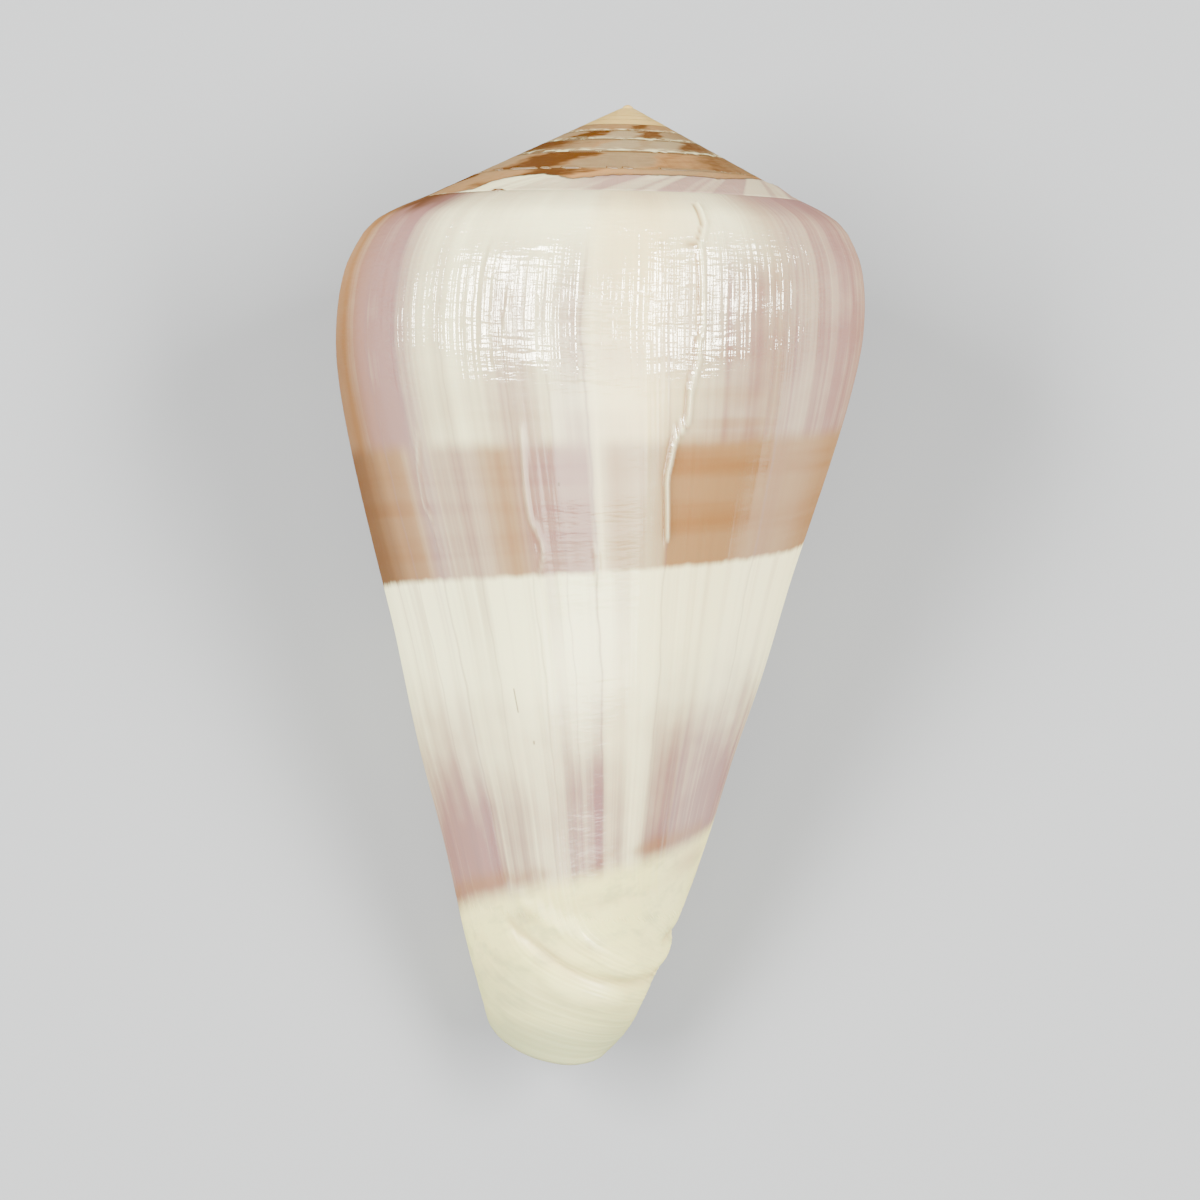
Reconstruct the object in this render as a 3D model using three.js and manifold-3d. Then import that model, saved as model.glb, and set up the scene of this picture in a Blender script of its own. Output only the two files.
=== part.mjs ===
// A cone shell, 52 mm long, lying on its mouth with the spire pointing along +Y.
// Millimetres, +Z up, the ground at z = 0, the origin on the ground under the middle of the shell.
//
// The shell is one solid. Its outside is a logarithmic spiral: each whorl is the whorl after it, turned once
// and shrunk about the apex by the same share. One profile draws the whorl, from the suture over the rounded
// shoulder and down the long side of the cone. A turned slot leaves the hollow of the last whorl between its
// wall and the whorl inside it. The mouth's edge sweeps back round the lower end, where the canal opens.
import * as THREE from "three";
import { mergeVertices } from "three/addons/utils/BufferGeometryUtils.js";
import Module from "manifold-3d";

// Driving dimensions in millimetres and degrees. Depths are measured from the apex along the coiling axis,
// and angles from the outer lip, back against the growth.
const GROWTH_PER_WHORL = 1.34;
const SUTURE = { radius: 11.3, depth: 5.85 };
const SHOULDER_CREST = { radius: 15.98, depth: 13.2 };
const CORE_TIP_DEPTH = 53.9;
const OLD_SHOULDER_SWELL = 0.45;

const WALL = 1.0;
const HOLLOW_TURN = 285;
const HAIR_GAP = 0.03;
const PILLAR = { radius: 1.25, top: 30, tip: 50.9 };

const LIP_LEAN_PER_MM = 0.32;
const CANAL = { depth: 52, sweep: 163, fade: 1.05 };
const END_CENTRE = { radius: 1.55, degrees: 48 };

// The lowest side faces the ground and the axis rises towards the apex. The three places that touch the
// ground are worn flat by a hair.
const RESTING_PITCH = 13.12;
const RESTING_FACE = -43.05;
const WORN_FLAT = 0.06;

// How finely the faceted solid follows its curves.
const COLUMNS_PER_WHORL = 60;
const WHORLS = 7;
const HOLLOW_STEP = 7.5;
const HOLLOW_ROWS = 20;
const MOUTH_COLUMNS = 30;

// The last whorl's profile at the outer lip, as radius and depth. It starts at the suture, and the next
// whorl's suture lies on it, where radius and depth are one whorl's growth larger.
const NEXT_SUTURE_DEPTH = SUTURE.depth * GROWTH_PER_WHORL;
const RAMP = [
  [SUTURE.radius, SUTURE.depth],
  [12.5, 6.22],
  [13.75, 6.92],
  [SUTURE.radius * GROWTH_PER_WHORL - OLD_SHOULDER_SWELL, NEXT_SUTURE_DEPTH],
];
const SIDE = [
  [15.27, 8.8],
  [15.66, 9.8],
  [15.9, 11.3],
  [SHOULDER_CREST.radius, SHOULDER_CREST.depth],
  [15.88, 15.3],
  [15.3, 18.5],
  [14.35, 22.4],
  [13.35, 25.9],
  [12.1, 30.1],
  [10.4, 36.6],
  [8.75, 42.0],
  [7.3, 47.4],
  [5.85, 52.1],
  [4.6, 55.4],
  [3.5, 57.8],
  [2.3, 60.3],
];
const PROFILE = [...RAMP, ...SIDE];
const RAMP_ROWS = RAMP.length - 1;
const END_ROW = PROFILE.length - 1;

const RAD = Math.PI / 180;
const shrink = (degrees) => GROWTH_PER_WHORL ** (-degrees / 360);
const count = (first, last) => Array.from({ length: last - first + 1 }, (_, i) => first + i);

function steps(first, last, step) {
  const number = Math.round((last - first) / step);
  return count(0, number).map((i) => first + ((last - first) * i) / number);
}

// A point in the shell's own frame: apex at the origin, +Z up the coiling axis, the outer lip over +X.
function around(degrees, radius, depth) {
  return [radius * Math.cos(degrees * RAD), radius * Math.sin(degrees * RAD), -depth];
}
const onSpiral = (degrees, radius, depth) =>
  around(degrees, radius * shrink(degrees), depth * shrink(degrees));

// Whorls older than the last stand out a little more at the shoulder, where the next suture lies.
function profilePoint(row, degrees) {
  const [radius, depth] = PROFILE[row];
  const nearSuture = row === 0 ? 0 : Math.exp(-(((depth - NEXT_SUTURE_DEPTH) / 1.6) ** 2));
  const older = THREE.MathUtils.smoothstep(degrees, 180, 350);
  return [radius + OLD_SHOULDER_SWELL * nearSuture * older, depth];
}

// Reads a line of [radius, depth] points at a depth, running on straight past its last point.
function radiusAt(line, depth) {
  const past = line.findIndex((point) => point[1] >= depth);
  const i = past < 0 ? line.length - 1 : Math.max(past, 1);
  const [[r0, d0], [r1, d1]] = [line[i - 1], line[i]];
  return r0 + ((r1 - r0) * (depth - d0)) / (d1 - d0);
}

// A closed skin of triangles: points are added once, and faces refer to them.
class Skin {
  constructor() {
    this.points = [];
    this.faces = [];
  }
  add(point) {
    return this.points.push(point) - 1;
  }
  triangle(a, b, c) {
    if (a !== b && b !== c && c !== a) this.faces.push([a, b, c]);
  }
  quad(a, b, c, d) {
    this.triangle(a, b, c);
    this.triangle(a, c, d);
  }
  // Fills the strip between two lines of points that run the same way.
  zip(left, right) {
    let i = 0;
    let j = 0;
    while (i < left.length - 1 || j < right.length - 1) {
      const leftIsNext = (i + 1) / (left.length - 1) <= (j + 1) / (right.length - 1);
      if (j === right.length - 1 || (i < left.length - 1 && leftIsNext)) {
        this.triangle(left[i], right[j], left[i + 1]);
        i += 1;
      } else {
        this.triangle(left[i], right[j], right[j + 1]);
        j += 1;
      }
    }
  }
  fan(centre, line) {
    for (let i = 0; i < line.length - 1; i++) this.triangle(centre, line[i], line[i + 1]);
  }
  geometry() {
    const positions = this.faces.flat().flatMap((index) => this.points[index]);
    const geometry = new THREE.BufferGeometry();
    geometry.setAttribute("position", new THREE.Float32BufferAttribute(positions, 3));
    return geometry;
  }
}

// The whole outside of the shell as one filled body, closed by a wall in the plane of the outer lip. An
// older whorl shows only its ramp, whose last row is the first row of the whorl after it.
function filledShell() {
  const skin = new Skin();
  const lastColumn = COLUMNS_PER_WHORL * WHORLS;
  const known = new Map();
  const at = (column, row) => {
    if (row === RAMP_ROWS && column >= COLUMNS_PER_WHORL) return at(column - COLUMNS_PER_WHORL, 0);
    const key = `${column} ${row}`;
    const degrees = (column * 360) / COLUMNS_PER_WHORL;
    if (!known.has(key)) known.set(key, skin.add(onSpiral(degrees, ...profilePoint(row, degrees))));
    return known.get(key);
  };
  for (const column of count(0, lastColumn - 1)) {
    const lastRow = column < COLUMNS_PER_WHORL ? END_ROW : RAMP_ROWS;
    for (const row of count(0, lastRow - 1)) {
      skin.quad(at(column, row), at(column, row + 1), at(column + 1, row + 1), at(column + 1, row));
    }
  }
  const lip = count(0, END_ROW).map((row) => at(0, row));
  skin.zip(
    lip,
    count(RAMP_ROWS, END_ROW).map((row) => at(COLUMNS_PER_WHORL, row)),
  );
  const coreTip = skin.add(around(0, 0, CORE_TIP_DEPTH));
  const lowest = count(0, COLUMNS_PER_WHORL).map((column) => at(column, END_ROW));
  skin.fan(coreTip, [...lowest.reverse(), at(COLUMNS_PER_WHORL, END_ROW)]);

  const apex = skin.add([0, 0, 0]);
  const crown = count(lastColumn - COLUMNS_PER_WHORL, lastColumn).map((column) => at(column, 0));
  const crownEnd = count(1, RAMP_ROWS).map((row) => at(lastColumn, row));
  skin.fan(apex, [...crown, ...crownEnd]);
  return skin.geometry();
}

// The pillar that the shell coils round is a rod about the coiling axis with a domed tip.
function pillarRadius(depth) {
  const intoDome = Math.max(depth - (PILLAR.tip - PILLAR.radius), 0) / PILLAR.radius;
  return PILLAR.radius * Math.sqrt(Math.max(1 - intoDome ** 2, 0));
}

function pillar() {
  const dome = steps(PILLAR.tip, PILLAR.tip - PILLAR.radius, PILLAR.radius / -6);
  const side = [...dome, PILLAR.top].map((depth) => new THREE.Vector2(pillarRadius(depth), -depth));
  const outline = [...side, new THREE.Vector2(0, -PILLAR.top)];
  return new THREE.LatheGeometry(outline, 24).rotateX(Math.PI / 2);
}

// The inside of the last whorl's wall: its profile moved inwards by the wall's thickness.
const LINING = count(1, END_ROW - 1).map((row) => {
  const [[r0, d0], [r1, d1]] = [PROFILE[row - 1], PROFILE[row + 1]];
  const length = Math.hypot(r1 - r0, d1 - d0);
  const [radius, depth] = PROFILE[row];
  return [radius - (WALL * (d1 - d0)) / length, depth + (WALL * (r1 - r0)) / length];
});
const liningRadius = (depth) => Math.max(radiusAt(LINING, depth), 0.12);

// What bounds the hollow on its inner side, on the lip's scale: the whorl one turn further in, and where
// that has thinned to a point, the pillar.
function innerRadius(depth, degrees) {
  const older = count(0, END_ROW).map((row) => profilePoint(row, degrees + 360));
  const whorl = radiusAt(older, depth * GROWTH_PER_WHORL) / GROWTH_PER_WHORL;
  return Math.max(whorl, pillarRadius(depth * shrink(degrees)) / shrink(degrees) + HAIR_GAP);
}

// The hollow's upper corner, where the lining meets the whorl inside.
function hollowTop(degrees) {
  let depth = SUTURE.depth + WALL / 2;
  while (radiusAt(LINING, depth) < innerRadius(depth, degrees) + HAIR_GAP) depth += HAIR_GAP;
  return depth;
}

// One section of the hollow: down its inner side, then up its outer side.
function hollowSection(degrees) {
  const top = hollowTop(degrees);
  const bottom = PROFILE[END_ROW][1] + 4;
  const depths = count(0, HOLLOW_ROWS).map((i) => top + (bottom - top) * (i / HOLLOW_ROWS) ** 1.35);
  const outer = depths.map((depth) => [liningRadius(depth), depth]);
  const gap = HAIR_GAP + 0.1 * THREE.MathUtils.smoothstep(-degrees, 0, 3 * HOLLOW_STEP);
  const inner = outer.map(([radius, depth]) => [
    Math.min(innerRadius(depth, degrees) + gap, radius - HAIR_GAP),
    depth,
  ]);
  return { inner, outer };
}

// The hollow of the last whorl starts in the open, a little in front of the lip.
function hollow() {
  const skin = new Skin();
  const sections = steps(-3 * HOLLOW_STEP, HOLLOW_TURN, HOLLOW_STEP).map((degrees) => {
    const { inner, outer } = hollowSection(degrees);
    const place = (points) => points.map((point) => skin.add(onSpiral(degrees, ...point)));
    return { inner: place(inner), outer: place(outer) };
  });
  const loops = sections.map(({ inner, outer }) => [...inner, ...outer.toReversed()]);
  loops.slice(1).forEach((loop, i) => {
    loop.forEach((point, j) => {
      const next = (j + 1) % loop.length;
      skin.quad(loops[i][j], point, loop[next], loops[i][next]);
    });
  });
  skin.zip(sections[0].outer, sections[0].inner);
  skin.zip(sections.at(-1).inner, sections.at(-1).outer);
  return skin.geometry();
}

// How far round the mouth's edge stands back from the lip at a depth: it leans a little down the side, and
// sweeps back round the canal at the lower end.
function standsBack(depth) {
  const lean = LIP_LEAN_PER_MM * Math.max(depth - SHOULDER_CREST.depth, 0);
  return lean + CANAL.sweep * Math.exp((depth - CANAL.depth) / CANAL.fade);
}

// What the mouth's edge leaves free: everything outside the middle of the hollow, from the plane of the lip
// back to the edge.
function mouthCut() {
  const skin = new Skin();
  const sweeps = steps(3, CANAL.sweep + 30, 8);
  const depths = [
    ...steps(SHOULDER_CREST.depth, 46, 3),
    ...sweeps.map((sweep) => CANAL.depth + CANAL.fade * Math.log(sweep / CANAL.sweep)),
  ];
  const grid = (radiusOf) =>
    depths.map((depth) =>
      steps(-10, standsBack(depth), (10 + standsBack(depth)) / MOUTH_COLUMNS).map((degrees) =>
        skin.add(around(degrees, radiusOf(degrees, depth), depth)),
      ),
    );
  const near = grid((degrees, depth) => {
    const scaled = depth / shrink(degrees);
    const middle = (innerRadius(scaled, degrees) + liningRadius(scaled)) / 2;
    return shrink(degrees) * Math.max(middle, 0.1);
  });
  const far = grid(() => SHOULDER_CREST.radius * 1.5);
  const end = MOUTH_COLUMNS;
  const bottom = depths.length - 1;
  for (const row of count(0, bottom - 1)) {
    for (const i of count(0, end - 1)) {
      skin.quad(near[row][i + 1], near[row + 1][i + 1], near[row + 1][i], near[row][i]);
      skin.quad(far[row + 1][i], far[row + 1][i + 1], far[row][i + 1], far[row][i]);
    }
    skin.quad(near[row + 1][0], far[row + 1][0], far[row][0], near[row][0]);
    skin.quad(far[row][end], far[row + 1][end], near[row + 1][end], near[row][end]);
  }
  for (const i of count(0, end - 1)) {
    skin.quad(far[0][i], far[0][i + 1], near[0][i + 1], near[0][i]);
    skin.quad(near[bottom][i + 1], far[bottom][i + 1], far[bottom][i], near[bottom][i]);
  }
  return skin.geometry();
}

// The lower end is domed about a line beside the coiling axis, as radius against depth.
const END_DOME = [
  [0, 52.0],
  [1.5, 51.93],
  [2.6, 51.7],
  [3.6, 51.3],
  [4.6, 50.75],
  [6.0, 49.8],
  [9.0, 47.0],
  [30, 20],
  [30, -5],
  [0, -5],
];
function domedEnd() {
  const outline = END_DOME.map(([radius, depth]) => new THREE.Vector2(radius, -depth));
  const centre = around(END_CENTRE.degrees, END_CENTRE.radius, 0);
  return new THREE.LatheGeometry(outline, 32).rotateX(Math.PI / 2).translate(...centre);
}

const wasm = await Module();
wasm.setup();

function solid(geometry) {
  const bare = new THREE.BufferGeometry();
  bare.setAttribute("position", geometry.attributes.position);
  bare.setIndex(geometry.index);
  const merged = mergeVertices(bare, 1e-4);
  return new wasm.Manifold(
    new wasm.Mesh({
      numProp: 3,
      vertProperties: merged.attributes.position.array,
      triVerts: new Uint32Array(merged.index.array),
    }),
  );
}

function geometryOf(body) {
  const { vertProperties, triVerts } = body.getMesh();
  const geometry = new THREE.BufferGeometry();
  geometry.setAttribute("position", new THREE.BufferAttribute(vertProperties, 3));
  geometry.setIndex(new THREE.BufferAttribute(triVerts, 1));
  return geometry;
}

// Lays the shell on its mouth: turned about its own axis first, then tipped until the axis rises to the apex,
// then set down so that the ground takes a hair off what touches it.
function restingPlace(body) {
  const lying = new THREE.Matrix4()
    .makeRotationX((RESTING_PITCH - 90) * RAD)
    .multiply(new THREE.Matrix4().makeRotationZ((90 - RESTING_FACE) * RAD));
  const laid = geometryOf(body).applyMatrix4(lying);
  laid.computeBoundingBox();
  const { min, max } = laid.boundingBox;
  return new THREE.Matrix4()
    .makeTranslation(-(min.x + max.x) / 2, -(min.y + max.y) / 2, -min.z - WORN_FLAT)
    .multiply(lying);
}

const grown = solid(filledShell())
  .intersect(solid(domedEnd()))
  .subtract(solid(hollow()))
  .subtract(solid(mouthCut()))
  .add(solid(pillar()));

const place = restingPlace(grown);
const overGround = new THREE.BoxGeometry(100, 100, 60).translate(0, 0, 30).applyMatrix4(place.clone().invert());
const rested = grown.intersect(solid(overGround));

const glossyShell = new THREE.MeshStandardMaterial({ color: 0xe6dccb, roughness: 0.35, metalness: 0 });
const shell = new THREE.Mesh(geometryOf(rested), glossyShell);
shell.name = "shell";
shell.applyMatrix4(place);

const coneShell = new THREE.Group();
coneShell.name = "cone_shell";
coneShell.add(shell);
export default coneShell;
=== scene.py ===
"""Dresses the cone shell: grows its fine surface from one lip edge, paints it and sets up the stage."""

import functools
import math

import bpy
from bpy.props import FloatProperty, FloatVectorProperty, IntProperty, PointerProperty
from mathutils import Matrix, Vector


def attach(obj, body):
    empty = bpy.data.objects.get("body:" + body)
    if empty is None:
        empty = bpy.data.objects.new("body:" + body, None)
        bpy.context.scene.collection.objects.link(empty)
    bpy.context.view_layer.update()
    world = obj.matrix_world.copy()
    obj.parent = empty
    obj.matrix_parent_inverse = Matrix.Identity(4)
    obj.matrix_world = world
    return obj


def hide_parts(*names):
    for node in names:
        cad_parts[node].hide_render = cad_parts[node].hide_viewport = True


bl_info = {
    "name": "Cone Shell",
    "version": (1, 0, 0),
    "blender": (4, 5, 0),
    "location": "View3D > Sidebar > Cone Shell",
    "description": "Grows and paints a cone shell lying on its mouth",
    "category": "Object",
}

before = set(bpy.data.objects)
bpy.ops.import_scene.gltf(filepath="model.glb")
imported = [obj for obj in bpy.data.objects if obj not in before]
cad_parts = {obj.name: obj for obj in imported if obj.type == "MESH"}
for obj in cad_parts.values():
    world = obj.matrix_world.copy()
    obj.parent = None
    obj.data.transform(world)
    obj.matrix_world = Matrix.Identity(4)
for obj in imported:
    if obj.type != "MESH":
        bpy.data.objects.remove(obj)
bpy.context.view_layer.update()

MM = 0.001
GROWTH_PER_WHORL = 1.34
TO_RADIANS = math.pi / 180
TO_DEGREES = 180 / math.pi
GIRTH_ON_PLANE = 0.2
FULL_TURN = 360
MIDDLE_AGE = 137
# Soft edges, as where each starts and ends: the tan band's top and foot and the front end, by the depth at
# full size, and the last whorl, by its age.
BAND_TOP, BAND_FOOT, FRONT_START, WHORL_END = (19.7, 20.9), (27.5, 28), (45, 46.4), (352, 361)
RESTING_PITCH = 13.12
RESTING_FACE = -43.05
APEX = (1.047, 25.442, 14.718)

# The whorl's profile at the lip, from the suture down, as radius and depth below the apex in millimetres.
PROFILE_RAMP = [
    (11.6, 5.86), (12.4, 6.22), (13.25, 6.66), (14, 7.15), (14.66, 7.852),
]
PROFILE_SIDE = [
    (14.66, 7.852), (15.17, 8.8), (15.58, 9.8), (15.87, 11.3), (15.98, 13.2), (15.86, 15.3), (15.26, 18.5),
    (14.27, 22.4), (13.27, 25.9), (12.05, 30.1), (10.4, 36.6), (8.75, 42), (7.3, 47.4), (5.83, 52.1),
    (4.65, 55.4), (3.9, 57.1), (3.2, 58.6), (2.6, 59.8),
]
# How far round the lip's edge stands back, in degrees, at each depth: a lean down the side, then the sweep
# round the open canal at the lower end.
LIP_EDGE = [
    (5.85, 0), (13.2, 0), (20, 2), (30, 5.4), (40, 8.7), (45, 10.4), (47, 12.4), (48.4, 16.5), (49.3, 24),
    (50, 35.5), (50.6, 48), (51.2, 68), (51.7, 90), (51.93, 108), (52, 124), (51.9, 137), (51.75, 147),
]
RAMP_ROWS = 14
SIDE_ROWS = 116
ROUNDING_ROWS = 3


def radians_of(degrees):
    return degrees * math.pi / 180


def shrink(degrees):
    return GROWTH_PER_WHORL ** (-degrees / FULL_TURN)


def blend(a, b, low, high, t):
    """Point a at the low end and point b at the high end, in proportion between them."""
    return a * ((high - t) / (high - low)) + b * ((t - low) / (high - low))


def smooth_line(points, count):
    """A centripetal curve through the points, as a list of count + 1 points at equal steps of its length."""
    ends = (points[0], points[1]), (points[-1], points[-2])
    before, after = (tuple(2 * a - b for a, b in zip(*pair)) for pair in ends)
    line = [Vector(p) for p in (before, *points, after)]
    dense = []
    for near in zip(line, line[1:], line[2:], line[3:]):
        knots = [0]
        for a, b in zip(near, near[1:]):
            knots.append(knots[-1] + max((b - a).length, 1e-6) ** 0.5)
        for step in range(24):
            t = knots[1] + (knots[2] - knots[1]) * step / 24
            pairs = [blend(near[i], near[i + 1], knots[i], knots[i + 1], t) for i in range(3)]
            pairs = [blend(pairs[i], pairs[i + 1], knots[i], knots[i + 2], t) for i in range(2)]
            dense.append(blend(*pairs, knots[1], knots[2], t))
    dense.append(line[-2])
    return resample(dense, count)


def resample(dense, count):
    """The same line as count + 1 points at equal steps of its length."""
    reached = [0]
    for a, b in zip(dense, dense[1:]):
        reached.append(reached[-1] + (b - a).length)
    made, i = [], 0
    for step in range(count + 1):
        wanted = reached[-1] * step / count
        while i < len(dense) - 2 and reached[i + 1] < wanted:
            i += 1
        share = (wanted - reached[i]) / max(reached[i + 1] - reached[i], 1e-9)
        made.append(dense[i].lerp(dense[i + 1], min(max(share, 0), 1)))
    return made


def value_at(line, x):
    """Reads a line of (x, y) points at x."""
    for a, b in zip(line, line[1:]):
        if b[0] >= x:
            break
    return a[1] + (b[1] - a[1]) * (x - a[0]) / (b[0] - a[0])


def lip_edge_rows():
    """The lip's edge as one line of points in the shell's own frame: apex at the origin, +Z up the axis."""
    ramp = smooth_line(PROFILE_RAMP, 200)[:-1]
    side = smooth_line(PROFILE_SIDE, 800)
    profile = [(p.y, p.x) for p in (*ramp, *side)]

    def on_edge(depth, back):
        radius = value_at(profile, depth / shrink(back)) * shrink(back)
        turn = radians_of(back)
        return Vector((radius * math.cos(turn), radius * math.sin(turn), -depth))

    next_suture = PROFILE_SIDE[0][1]
    first = [on_edge(p.y, 0) for p in ramp] + [on_edge(next_suture, 0)]
    edge = smooth_line(LIP_EDGE, 1600)
    rest = [on_edge(p.x, max(p.y, 0)) for p in edge if p.x > next_suture + 0.01]
    return resample(first, RAMP_ROWS)[:-1] + resample([first[-1], *rest], SIDE_ROWS)


class Socket:
    """One output of a node. Plain arithmetic on it adds the Math nodes."""

    def __init__(self, nodes, output):
        self.nodes, self.output = nodes, output

    def math(self, operation, *others):
        return self.nodes.math(operation, self, *others)

    def __neg__(self):
        return self * -1

    def least(self, other):
        return self.math("MINIMUM", other)

    def most(self, other):
        return self.math("MAXIMUM", other)

    def held(self):
        """Kept between 0 and 1."""
        return self.most(0).least(1)

    def smooth(self, low, high):
        """0 below low, 1 above high, with a smooth step between."""
        values = {"Value": self, "From Min": low, "From Max": high}
        return self.nodes.add("MapRange", values, {"interpolation_type": "SMOOTHSTEP"})

    def near(self, centre, width):
        """1 at the centre, falling to nothing over the width."""
        return (((self - centre) / width) ** 2 * -1).math("EXPONENT")

    def part(self, name):
        """Another output of the same node."""
        return Socket(self.nodes, self.output.node.outputs[name])


def add_arithmetic(sign, operation):
    """Gives Socket one of Python's signs, with the socket on either side of it."""
    setattr(Socket, f"__{sign}__", lambda self, other: self.nodes.math(operation, self, other))
    setattr(Socket, f"__r{sign}__", lambda self, other: self.nodes.math(operation, other, self))


for sign, operation in (
    ("add", "ADD"),
    ("sub", "SUBTRACT"),
    ("mul", "MULTIPLY"),
    ("truediv", "DIVIDE"),
    ("pow", "POWER"),
):
    add_arithmetic(sign, operation)


def strongest(sockets):
    return functools.reduce(Socket.most, sockets)


class Nodes:
    """A node tree that is filled one node at a time."""

    def __init__(self, tree):
        self.tree = tree

    def add(self, kind, inputs=None, settings=None, output=0):
        """Adds a node of a kind that is named without its prefix, with values or links for its sockets."""
        own = self.tree.bl_idname.removesuffix("Tree") + kind
        node = self.tree.nodes.new(own if hasattr(bpy.types, own) else "ShaderNode" + kind)
        for name, value in (settings or {}).items():
            if name == "stops":
                self.set_stops(node.color_ramp, value)
            else:
                setattr(node, name, value)
        for key, value in (inputs or {}).items():
            self.feed(node.inputs[key], value)
        return Socket(self, node.outputs[output]) if node.outputs else None

    def feed(self, socket, value):
        if isinstance(value, Socket):
            self.tree.links.new(value.output, socket)
        else:
            socket.default_value = value

    @staticmethod
    def set_stops(ramp, stops):
        while len(ramp.elements) > 1:
            ramp.elements.remove(ramp.elements[-1])
        for i, (position, colour) in enumerate(stops):
            stop = ramp.elements[0] if i == 0 else ramp.elements.new(position)
            stop.position = position
            stop.color = (*colour, 1)

    def math(self, operation, *values):
        return self.add("Math", dict(enumerate(values)), {"operation": operation})

    def vector(self, operation, *values):
        return self.add("VectorMath", dict(enumerate(values)), {"operation": operation})

    def scale(self, vector, factor):
        return self.add("VectorMath", {"Vector": vector, "Scale": factor}, {"operation": "SCALE"})

    def moved(self, place, along, by):
        return self.vector("ADD", place, self.scale(along, by))

    def combine(self, x, y, z):
        return self.add("CombineXYZ", {"X": x, "Y": y, "Z": z})

    def separate(self, vector):
        made = self.add("SeparateXYZ", {"Vector": vector})
        return made, made.part("Y"), made.part("Z")

    def noise(self, vector, scale, detail=2, roughness=0.5):
        values = {"Vector": vector, "Scale": scale, "Detail": detail, "Roughness": roughness}
        return self.add("TexNoise", values, output="Fac")

    def mix(self, factor, first, second):
        """Mixes two colours."""
        colours = {0: factor, 6: self.colour(first), 7: self.colour(second)}
        return self.add("Mix", colours, {"data_type": "RGBA"}, 2)

    def layered(self, ground, *layers):
        """Lays colours over a ground, each by its strength."""
        for strength, colour in layers:
            ground = self.mix(strength, ground, colour)
        return ground

    @staticmethod
    def colour(value):
        return value if isinstance(value, Socket) else (*value, 1)


KINDS = {int: "Int", float: "Float", tuple: "Vector", type(None): "Object"}


class Interface:
    """The named inputs and the one output of a Geometry Nodes tree."""

    def __init__(self, nodes):
        self.nodes = nodes
        self.entry = nodes.tree.nodes.new("NodeGroupInput")
        self.identifiers = {}
        nodes.tree.interface.new_socket("Geometry", in_out="OUTPUT", socket_type="NodeSocketGeometry")

    def inputs(self, defaults):
        """Adds an input for each name. Its kind follows from its default."""
        made = {}
        for name, default in defaults.items():
            kind = "NodeSocket" + ("Material" if name == "Material" else KINDS[type(default)])
            item = self.nodes.tree.interface.new_socket(name, in_out="INPUT", socket_type=kind)
            if default is not None:
                item.default_value = default
            self.identifiers[name] = item.identifier
            made[name] = Socket(self.nodes, self.entry.outputs[name])
        return made

    def output(self, geometry):
        way_out = self.nodes.tree.nodes.new("NodeGroupOutput")
        self.nodes.feed(way_out.inputs["Geometry"], geometry)


def new_tree(name):
    """A new Geometry Nodes tree with its nodes and its interface."""
    tree = bpy.data.node_groups.new(name, "GeometryNodeTree")
    nodes = Nodes(tree)
    return tree, nodes, Interface(nodes)


def new_material(name):
    material = bpy.data.materials.new(name)
    material.use_nodes = True
    material.node_tree.nodes.clear()
    return material, Nodes(material.node_tree)


def grid_of(nodes, rows, columns):
    """A flat grid, with the row and the column of each of its points."""
    grid = nodes.add("MeshGrid", {"Vertices X": columns, "Vertices Y": rows})
    index = nodes.add("InputIndex")
    row = index.math("MODULO", rows)
    return grid, row, ((index - row) / rows).math("ROUND")


def sample(nodes, curve, value, index, kind="FLOAT_VECTOR"):
    settings = {"data_type": kind, "domain": "POINT", "clamp": True}
    values = {"Geometry": curve, "Value": value, "Index": index}
    return nodes.add("SampleIndex", values, settings)


def store(nodes, geometry, name, value):
    settings = {"data_type": "FLOAT", "domain": "POINT"}
    values = {"Geometry": geometry, "Name": name, "Value": value}
    return nodes.add("StoreNamedAttribute", values, settings)


def object_curve(nodes, item):
    """The curve of an object that is given to the tree."""
    return nodes.add("ObjectInfo", {"Object": item}, None, "Geometry")


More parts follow.
